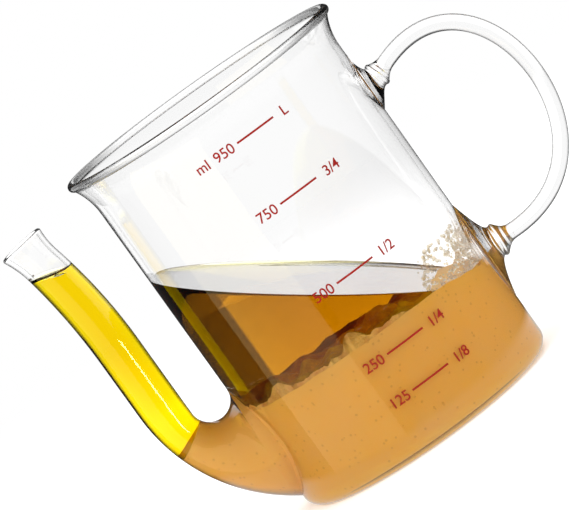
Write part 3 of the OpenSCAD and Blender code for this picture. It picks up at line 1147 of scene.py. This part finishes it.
def flat_text(words, height, thickness):
    """Words as a mesh that lies flat, with their left edge at 0 and digits of the given height."""
    curve = bpy.data.curves.new("words", "FONT")
    curve.body = words
    curve.size = 1
    curve.resolution_u = 6
    curve.extrude = 0.5
    curve.offset = STROKE_GROWTH
    obj = bpy.data.objects.new("words", curve)
    bpy.context.scene.collection.objects.link(obj)
    bpy.context.view_layer.update()
    graph = bpy.context.evaluated_depsgraph_get()
    mesh = bpy.data.meshes.new_from_object(obj.evaluated_get(graph), depsgraph=graph)
    bpy.data.objects.remove(obj)
    bpy.data.curves.remove(curve)
    bm = bmesh.new()
    bm.from_mesh(mesh)
    bpy.data.meshes.remove(mesh)
    bmesh.ops.remove_doubles(bm, verts=bm.verts, dist=1e-5)
    scale = height / DIGIT_SHARE
    left = min(v.co.x for v in bm.verts)
    for v in bm.verts:
        v.co = Vector(((v.co.x - left) * scale, v.co.y * scale, (v.co.z + 0.5) * thickness))
    return bm


def text_width(bm):
    """Width of flat text."""
    return max(v.co.x for v in bm.verts)


def wrap_text(bm, left, base_z, wall_r):
    """Wraps flat text round the vessel, with its left edge at a place along the wall."""
    for v in bm.verts:
        a = (left + v.co.x) / wall_r - math.pi / 2
        r = wall_r - ENAMEL_SUNK + v.co.z
        v.co = Vector((r * math.cos(a), r * math.sin(a), base_z + v.co.y))


class SEPARATOR_OT_print(bpy.types.Operator):
    """Make the numbers of the scale, wrapped round the wall beside the lines"""

    bl_idname = "separator.print"
    bl_label = "Printed scale"

    def execute(self, context):
        vessel, _ = shared(context)
        s = context.scene.separator_print
        enamel = enamel_material(context.scene.separator_finishes)
        thickness = s.enamel_t + ENAMEL_SUNK
        whole = bmesh.new()
        for node, (left_words, right_words) in MARKS.items():
            low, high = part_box(node)
            ends = [math.asin(corner.x / (vessel.r + LINE_RISE)) * vessel.r for corner in (low, high)]
            base_z = (low.z + high.z) / 2 - s.digit_h / 2
            words = [(left_words, ends[0] - s.left_gap, True), (right_words, ends[1] + s.right_gap, False)]
            for text, place, ends_there in words:
                bm = flat_text(text, s.digit_h, thickness)
                start = place - text_width(bm) if ends_there else place
                if node == TOP_MARK and ends_there:
                    unit = flat_text("ml", s.digit_h, thickness)
                    unit_start = start - s.unit_gap - text_width(unit)
                    wrap_text(unit, unit_start, base_z, vessel.r)
                    add_bmesh(whole, unit)
                wrap_text(bm, start, base_z, vessel.r)
                add_bmesh(whole, bm)
            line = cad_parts[node].data.materials
            line.clear()
            line.append(enamel)
        obj = make_object("scale_numbers", whole, 1)
        finish_piece(obj, [enamel], sharp=40)
        return {"FINISHED"}


def add_bmesh(whole, part):
    """Adds a bmesh to another and frees it."""
    mesh = bpy.data.meshes.new("part")
    part.to_mesh(mesh)
    part.free()
    whole.from_mesh(mesh)
    bpy.data.meshes.remove(mesh)


# ---------------------------------------------------------------- contents

# Rings of points on a liquid's surface, plain or fine
TOP_RINGS = 26
FINE_RINGS = 60
# Steps of the meniscus in the spout, from its edge inward: width and fall, in millimetres
SPOUT_MENISCUS = ((0.25, 0.5), (0.35, 0.42), (0.6, 0.4), (0.9, 0.3), (1.4, 0.22), (1.8, 0.1))
# How far the fat's body reaches down into the gravy, which hides it
FAT_BELOW = 8 * MM
# Height below all of the fat's surface, from which its body is built before it is cut off higher up
FAT_FLOOR = 15 * MM
# Share of the spout's root in which the fat reaches into the gravy
FAT_IN_GRAVY = 0.02
# How far outward of the tube's middle line the spout's fat has its given height
LEVEL_SHIFT = 2 * MM
MENISCUS_H = 1.3 * MM
MENISCUS_W = 1.6 * MM
# Heights of the rows of points on the gravy's side
GRAVY_ROWS = (30 * MM, 20 * MM, 12 * MM)
# The gravy's surface: length and height of its swell, and how far and how steeply it falls past the fat
SWELL_L = 9 * MM
SWELL_H = 0.5 * MM
FALL_H = 5 * MM
FALL_POWER = 1.3
# Tilt, in radians, below which the fat's surface counts as level, and the share of the wall's radius that
# counts as the wall
LEVEL_TILT = 0.02
AT_WALL = 0.999


def filled_glass(top, base_outline, rows=TOP_RINGS):
    """A closed body of liquid: an outline from the wall down to the axis, under a top of height top(x, y)."""
    bm = bmesh.new()
    sides = VESSEL_SIDES
    wall_r = base_outline[0].x
    turns = [math.tau * i / sides for i in range(sides)]
    rings = []
    for k in range(rows, 0, -1):
        r = wall_r * math.sin(k / rows * math.pi / 2)
        spots = [Vector((r * math.cos(a), r * math.sin(a), 0)) for a in turns]
        rings.append([bm.verts.new((p.x, p.y, top(p.x, p.y))) for p in spots])
    centre = bm.verts.new((0, 0, top(0, 0)))
    for outer, inner in zip(rings, rings[1:]):
        for i in range(sides):
            j = (i + 1) % sides
            bm.faces.new((outer[i], outer[j], inner[j], inner[i]))
    for i in range(sides):
        bm.faces.new((rings[-1][i], rings[-1][(i + 1) % sides], centre))
    above = rings[0]
    for p in base_outline:
        if p.x < 1e-9:
            pole = bm.verts.new((0, 0, p.y))
            for i in range(sides):
                bm.faces.new((above[(i + 1) % sides], above[i], pole)).material_index = FUSED
            continue
        row = [bm.verts.new((p.x * math.cos(a), p.x * math.sin(a), p.y)) for a in turns]
        for i in range(sides):
            j = (i + 1) % sides
            bm.faces.new((above[j], above[i], row[i], row[j])).material_index = FUSED
        above = row
    return bm


def cut_off(bm, place, normal, index, **cleared):
    """Cuts a body off at a plane and closes it with a face of a material index."""
    geometry = bm.verts[:] + bm.edges[:] + bm.faces[:]
    cut = bmesh.ops.bisect_plane(bm, geom=geometry, plane_co=place, plane_no=normal, **cleared)
    edges = [e for e in cut["geom_cut"] if isinstance(e, bmesh.types.BMEdge)]
    return bmesh.ops.edgeloop_fill(bm, edges=edges, mat_nr=index)["faces"][0]


def meniscus(gap):
    """Rise of a liquid at a distance from the glass."""
    return MENISCUS_H * math.exp(-max(gap, 0) / MENISCUS_W)


class Fill:
    """The surfaces of the gravy and the fat."""

    def __init__(self, s, vessel):
        self.s = s
        self.wall_r = vessel.inner_r + WETTING

    def fat_top(self, x, y):
        """The fat's surface: a tilted plane that climbs a little up the glass."""
        gap = self.wall_r - math.hypot(x, y)
        return self.s.fat_z - math.tan(self.s.tilt) * x + math.tan(self.s.tilt_back) * y + meniscus(gap)

    def gravy_level(self, y):
        """The gravy's mean surface, which falls a little towards the back."""
        return self.s.gravy_z - math.tan(self.s.gravy_tilt) * (y + self.wall_r)

    def gravy_top(self, x, y):
        """The gravy's surface: a little uneven, and lower where the fat ends."""
        swell = noise.noise(Vector((x, y, 0)) / SWELL_L) * SWELL_H
        past = max(0, x - self.meet_x()) / (self.wall_r - self.meet_x())
        return self.gravy_level(y) + swell - FALL_H * past**FALL_POWER

    def meet_x(self):
        """Where the fat's surface meets the gravy."""
        wall_x = self.wall_r * AT_WALL
        if self.s.tilt < LEVEL_TILT:
            return wall_x
        return min(wall_x, (self.s.fat_z - self.s.gravy_z) / math.tan(self.s.tilt))


def gravy_solid(context, name, growth):
    """The gravy in the vessel and the first part of the spout, grown into the glass."""
    vessel, spout = shared(context)
    s = context.scene.separator_fill
    fill = Fill(s, vessel)
    side = [Vector((vessel.inner_r + growth, z)) for z in GRAVY_ROWS]
    gravy = make_object(name, filled_glass(fill.gravy_top, side + vessel.inside(growth)))
    rings = spout.root_rings(last=s.spout_share, **spout.channel_insets(growth))
    sunk = [Vector((-spout.sink, p.y, p.z)) for p in rings[0]]
    combine(gravy, loft("root_gravy", [sunk, *rings], FUSED, FUSED, FUSED), "UNION")
    return gravy


def fat_solid(context, name, growth):
    """The fat on the gravy, under its own surface, grown into the glass."""
    vessel, _ = shared(context)
    s = context.scene.separator_fill
    fill = Fill(s, vessel)
    r = vessel.inner_r + growth
    bm = filled_glass(fill.fat_top, [Vector((r, FAT_FLOOR)), Vector((0, FAT_FLOOR))], rows=FINE_RINGS)
    cut_off(bm, (0, 0, s.gravy_z - FAT_BELOW), (0, 0, 1), FUSED, clear_inner=True)
    return make_object(name, bm)


def spout_fat_solid(context, name, growth):
    """The fat that stands in the spout, grown into the glass."""
    _, spout = shared(context)
    s = context.scene.separator_fill
    rings = spout.root_rings(first=s.spout_share - FAT_IN_GRAVY, **spout.channel_insets(growth))
    rings += spout.tube_rings(-1, growth, edge=False)[1:]
    column = loft(name, rings, FUSED, FUSED, FUSED)
    bm = bmesh.new()
    bm.from_mesh(column.data)
    top_centre = Vector((spout.tube_x - LEVEL_SHIFT, 0, s.spout_z))
    normal = Vector((math.sin(s.spout_tilt), 0, math.cos(s.spout_tilt)))
    face = cut_off(bm, top_centre, normal, CLEAR, clear_outer=True)
    bmesh.ops.recalc_face_normals(bm, faces=bm.faces)
    for width, depth in SPOUT_MENISCUS:
        bmesh.ops.inset_individual(bm, faces=[face], thickness=width * MM)
        for v in face.verts:
            v.co -= normal * depth * MM
    bm.to_mesh(column.data)
    bm.free()
    return column


def finish_liquid(obj, material):
    """Marks the faces of a clear liquid that are its free surface, and finishes it."""
    mask = obj.data.attributes.new(FREE_SURFACE, "FLOAT", "FACE")
    for polygon, value in zip(obj.data.polygons, mask.data):
        value.value = float(polygon.material_index == CLEAR)
        polygon.material_index = 0
    finish_piece(obj, [material], sharp=50)


class SEPARATOR_OT_gravy(bpy.types.Operator):
    """Make the gravy in the vessel and the first part of the spout"""

    bl_idname = "separator.gravy"
    bl_label = "Gravy"

    def execute(self, context):
        gravy = gravy_solid(context, "gravy", WETTING + COVER)
        material = gravy_material(context.scene.separator_finishes)
        finish_piece(gravy, [material, material], sharp=50)
        return {"FINISHED"}


class SEPARATOR_OT_fat(bpy.types.Operator):
    """Make the clear fat on the gravy, and the fat that stands in the spout"""

    bl_idname = "separator.fat"
    bl_label = "Fat"

    def execute(self, context):
        layer = fat_solid(context, "fat_layer", WETTING)
        finish_liquid(layer, fat_material("golden_fat", VESSEL_FAT_EDGE_SHADE, VESSEL_FAT_TINT))
        column = spout_fat_solid(context, "spout_fat", WETTING)
        finish_liquid(column, fat_material("golden_spout_fat", SPOUT_FAT_EDGE_SHADE, SPOUT_FAT_TINT))
        return {"FINISHED"}


def scatter_tree(name, material, detail):
    """Geometry nodes that scatter round grains of random size over a bed."""
    tree = bpy.data.node_groups.new(name, "GeometryNodeTree")
    sockets = tree.interface
    sockets.new_socket("Bed", in_out="INPUT", socket_type="NodeSocketGeometry")
    for label in ("Per area", "Smallest", "Largest", "Flatness"):
        sockets.new_socket(label, in_out="INPUT", socket_type="NodeSocketFloat")
    sockets.new_socket("Seed", in_out="INPUT", socket_type="NodeSocketInt")
    sockets.new_socket("Grains", in_out="OUTPUT", socket_type="NodeSocketGeometry")
    given, out = tree.nodes.new("NodeGroupInput").outputs, tree.nodes.new("NodeGroupOutput").inputs
    bed = {"Mesh": given["Bed"], "Density": given["Per area"], "Seed": given["Seed"]}
    spots = put(tree, "GeometryNodeDistributePointsOnFaces", bed).outputs
    sizes = {2: given["Smallest"], 3: given["Largest"], "Seed": given["Seed"]}
    size = put(tree, "FunctionNodeRandomValue", sizes, data_type="FLOAT").outputs[1]
    flat = math_node(tree, "MULTIPLY", size, given["Flatness"])
    scale = put(tree, "ShaderNodeCombineXYZ", {"X": size, "Y": size, "Z": flat}).outputs["Vector"]
    ball = put(tree, "GeometryNodeMeshIcoSphere", {"Radius": 1.0, "Subdivisions": detail}).outputs["Mesh"]
    placed = {"Points": spots["Points"], "Instance": ball, "Rotation": spots["Rotation"], "Scale": scale}
    grains = put(tree, "GeometryNodeInstanceOnPoints", placed).outputs["Instances"]
    real = put(tree, "GeometryNodeRealizeInstances", {"Geometry": grains}).outputs["Geometry"]
    painted = put(tree, "GeometryNodeSetMaterial", {"Geometry": real, "Material": material})
    tree.links.new(painted.outputs["Geometry"], out["Grains"])
    return tree


def scatter(bed, tree, **values):
    """Runs a scatter tree on its bed and keeps the mesh."""
    modifier = bed.modifiers.new("scatter", "NODES")
    modifier.node_group = tree
    names = {i.name: i.identifier for i in tree.interface.items_tree if i.in_out == "INPUT"}
    for label, value in values.items():
        modifier[names[label.replace("_", " ").capitalize()]] = value
    bake_modifiers(bed)


# The scum's relief: size of its fine grain and of its lumps, and their heights as shares of its thickness
SCUM_FINE, SCUM_FINE_H = 4 * MM, 0.4
SCUM_LUMP, SCUM_LUMP_H = 10 * MM, 3.2
# Where its lumps are in the noise, and how strong the noise has to be to make one
LUMP_SHIFT, LUMP_START = Vector((3, 1, 0)), 0.05
# Its least and its usual height, as shares of its thickness
SCUM_LEAST, SCUM_USUAL = 0.1, 0.55
# Length over which it thins out towards the fat's end, how far before that end it is gone, as a share of
# this length, and how far it dives under the gravy there
SCUM_FADE, SCUM_FADE_END, SCUM_DIVE = 10 * MM, 0.3, 3 * MM


class SEPARATOR_OT_scum(bpy.types.Operator):
    """Make the browned solids between the gravy and the fat"""

    bl_idname = "separator.scum"
    bl_label = "Scum"

    def execute(self, context):
        vessel, _ = shared(context)
        s = context.scene.separator_fill
        fill = Fill(s, vessel)
        material = scum_material(context.scene.separator_finishes)

        def top(x, y):
            spot = Vector((x, y, 0))
            fine = noise.fractal(spot / SCUM_FINE, 0.8, 2.0, 4) * SCUM_FINE_H
            lumps = max(0, noise.noise(spot / SCUM_LUMP + LUMP_SHIFT) - LUMP_START) * SCUM_LUMP_H
            height = s.scum_t * max(SCUM_LEAST, SCUM_USUAL + fine + lumps)
            room = (fill.meet_x() - x) / SCUM_FADE - SCUM_FADE_END
            return fill.gravy_level(y) + mix(-SCUM_DIVE, height, min(1, max(0, room)))

        below = s.gravy_z - FAT_BELOW
        r = fill.wall_r + COVER / 2
        bm = filled_glass(top, [Vector((r, below)), Vector((0, below))], rows=FINE_RINGS)
        scum = make_object("scum_layer", bm)
        finish_piece(scum, [material, material], sharp=80)
        return {"FINISHED"}


# The froth's bed: columns and rows, half its angle in degrees, and how soon it gets lower to the sides
FROTH_COLUMNS, FROTH_ROWS = 60, 8
FROTH_HALF, FROTH_TAPER = 58, 1.2
# Its usual height and how uneven that is, in millimetres, and the columns in one swell
FROTH_H, FROTH_UNEVEN, FROTH_SWELL = 13, 6, 7
# How far it starts under the gravy's level, and its gap from the wall
FROTH_BELOW, FROTH_GAP = 5 * MM, 0.7 * MM
# Smallest and largest radius of a bubble, its flatness, and the fineness of its mesh
BUBBLE_SMALL, BUBBLE_LARGE = 0.25 * MM, 0.95 * MM
BUBBLE_FLAT, BUBBLE_DETAIL = 0.8, 2


class SEPARATOR_OT_froth(bpy.types.Operator):
    """Make the froth that clings to the wall where the fat ends"""

    bl_idname = "separator.froth"
    bl_label = "Froth"

    def execute(self, context):
        vessel, _ = shared(context)
        s = context.scene.separator_fill
        material = froth_material(context.scene.separator_finishes)
        r = vessel.inner_r - FROTH_GAP
        low_z = s.gravy_z - FROTH_BELOW
        bm = bmesh.new()
        grid = []
        for i in range(FROTH_COLUMNS + 1):
            a = math.radians(mix(-FROTH_HALF, FROTH_HALF, i / FROTH_COLUMNS))
            usual = FROTH_H + FROTH_UNEVEN * noise.noise(Vector((i / FROTH_SWELL, 0, 0)))
            tall = usual * MM * math.cos(a * FROTH_TAPER)
            heights = [low_z + tall * k / FROTH_ROWS for k in range(FROTH_ROWS + 1)]
            grid.append([bm.verts.new((r * math.cos(a), r * math.sin(a), z)) for z in heights])
        for a, b in zip(grid, grid[1:]):
            for k in range(FROTH_ROWS):
                bm.faces.new((a[k], b[k], b[k + 1], a[k + 1]))
        bed = make_object("froth_bubbles", bm, 1)
        scatter(
            bed,
            scatter_tree("froth_scatter", material, BUBBLE_DETAIL),
            per_area=s.bubbles_per_area,
            smallest=BUBBLE_SMALL,
            largest=BUBBLE_LARGE,
            flatness=BUBBLE_FLAT,
            seed=s.froth_seed,
        )
        finish_piece(bed, [material], sharp=60)
        return {"FINISHED"}


# ---------------------------------------------------------------- studio


def make_lamp(name, target, place, width, height, power):
    """A soft rectangular lamp that faces the object."""
    lamp = bpy.data.lights.new(name, "AREA")
    lamp.shape = "RECTANGLE"
    lamp.size = width
    lamp.size_y = height
    lamp.energy = power
    obj = bpy.data.objects.new(name, lamp)
    obj.location = place
    obj.rotation_mode = "QUATERNION"
    obj.rotation_quaternion = (Vector(target) - Vector(place)).to_track_quat("-Z", "Y")
    bpy.context.scene.collection.objects.link(obj)
    obj.visible_camera = False
    obj.visible_glossy = False
    obj.visible_transmission = False


# Strength of the even light that the world casts on matt surfaces
WORLD_LIGHT = 1.21
# Heights of view, as the sine of an angle, between which the white turns dim, and how dim it is overhead
OVERHEAD = (0.4, 0.65)
OVERHEAD_LIGHT = 0.05
# Lamps: name, place, width, height and power in watts
LAMPS = (
    ("key_lamp", (-1.6, -2.2, 2.6), 1.6, 1.6, 55),
    ("back_lamp", (1.2, 2.6, 1.8), 2.0, 1.2, 40),
)


def make_world():
    """White all round for what is seen directly or through glass, darker overhead, and even light."""
    world = bpy.data.worlds.new("studio_white")
    bpy.context.scene.world = world
    world.use_nodes = True
    tree = world.node_tree
    tree.nodes.clear()
    way = put(tree, "ShaderNodeSeparateXYZ", {0: put(tree, "ShaderNodeTexCoord").outputs["Generated"]})
    dimmed = map_range(tree, way.outputs["Z"], *OVERHEAD, 1.0, OVERHEAD_LIGHT, kind="SMOOTHSTEP")
    white, dim, lit = (
        put(tree, "ShaderNodeBackground", {"Color": WHITE, "Strength": strength}).outputs[0]
        for strength in (1.0, dimmed, WORLD_LIGHT)
    )
    path = put(tree, "ShaderNodeLightPath").outputs
    # A ray that gathers light for a matt surface, as against one that shows what is behind or in the glass
    gathers = math_node(tree, "GREATER_THAN", path["Diffuse Depth"], 0.5)
    every = either(tree, path["Is Camera Ray"], either(tree, gathers, dim, lit), white)
    put(tree, "ShaderNodeOutputWorld", {"Surface": every})


class SEPARATOR_OT_studio(bpy.types.Operator):
    """Make the floor, the lamps, the white round them and the camera"""

    bl_idname = "separator.studio"
    bl_label = "Studio"

    def execute(self, context):
        scene = context.scene
        s = scene.separator_studio
        colours = scene.separator_finishes
        bm = bmesh.new()
        bmesh.ops.create_circle(bm, cap_ends=True, segments=128, radius=s.floor_r)
        floor = make_object("floor", bm, 0)
        if floor.data.polygons[0].normal.z < 0:
            floor.data.flip_normals()
        floor.data.materials.append(floor_material(colours, s.floor_r))
        make_world()
        for card in CARDS:
            make_card(*card)
        make_spout_card()
        middle = (0, 0, s.pivot_z)
        for name, *lamp in LAMPS:
            make_lamp(name, middle, *lamp)

        camera = bpy.data.cameras.new("camera")
        camera.lens = s.lens
        camera.sensor_width = 36
        camera.clip_start = 0.01
        camera.clip_end = 100
        obj = bpy.data.objects.new("camera", camera)
        scene.collection.objects.link(obj)
        back = Vector((0, -math.cos(s.elevation), math.sin(s.elevation)))
        obj.location = Vector(middle) + s.distance * back
        aim = Vector((s.aim_x, 0, s.aim_z))
        upright = (aim - obj.location).to_track_quat("-Z", "Y")
        obj.rotation_mode = "QUATERNION"
        obj.rotation_quaternion = upright @ Quaternion((0, 0, 1), -s.roll)
        scene.camera = obj
        scene.view_settings.view_transform = "Standard"
        scene.cycles.max_bounces = 32
        scene.cycles.transmission_bounces = 24
        scene.cycles.transparent_max_bounces = 32
        scene.cycles.glossy_bounces = 8
        return {"FINISHED"}


# ---------------------------------------------------------------- add-on


STEPS = (
    SEPARATOR_OT_gravy,
    SEPARATOR_OT_scum,
    SEPARATOR_OT_fat,
    SEPARATOR_OT_froth,
    SEPARATOR_OT_glass,
    SEPARATOR_OT_print,
    SEPARATOR_OT_studio,
)


class SEPARATOR_PT_panel(bpy.types.Panel):
    """Buttons for each group of pieces, in the order in which they are made"""

    bl_idname = "SEPARATOR_PT_panel"
    bl_label = "Gravy Fat Separator"
    bl_space_type = "VIEW_3D"
    bl_region_type = "UI"
    bl_category = "Separator"

    def draw(self, context):
        for step in STEPS:
            self.layout.operator(step.bl_idname)


PROPERTY_GROUPS = {
    "separator_vessel": VesselSizes,
    "separator_spout": SpoutSizes,
    "separator_handle": HandleSizes,
    "separator_print": PrintSizes,
    "separator_fill": FillSizes,
    "separator_finishes": Finishes,
    "separator_studio": StudioSizes,
}


def register():
    for name, group in PROPERTY_GROUPS.items():
        bpy.utils.register_class(group)
        setattr(bpy.types.Scene, name, PointerProperty(type=group))
    for step in STEPS:
        bpy.utils.register_class(step)
    bpy.utils.register_class(SEPARATOR_PT_panel)


def unregister():
    bpy.utils.unregister_class(SEPARATOR_PT_panel)
    for step in reversed(STEPS):
        bpy.utils.unregister_class(step)
    for name, group in reversed(PROPERTY_GROUPS.items()):
        delattr(bpy.types.Scene, name)
        bpy.utils.unregister_class(group)


def main():
    """Makes every piece and the studio."""
    register()
    for step in STEPS:
        family, action = step.bl_idname.split(".")
        getattr(getattr(bpy.ops, family), action)()


if __name__ == "__main__":
    main()
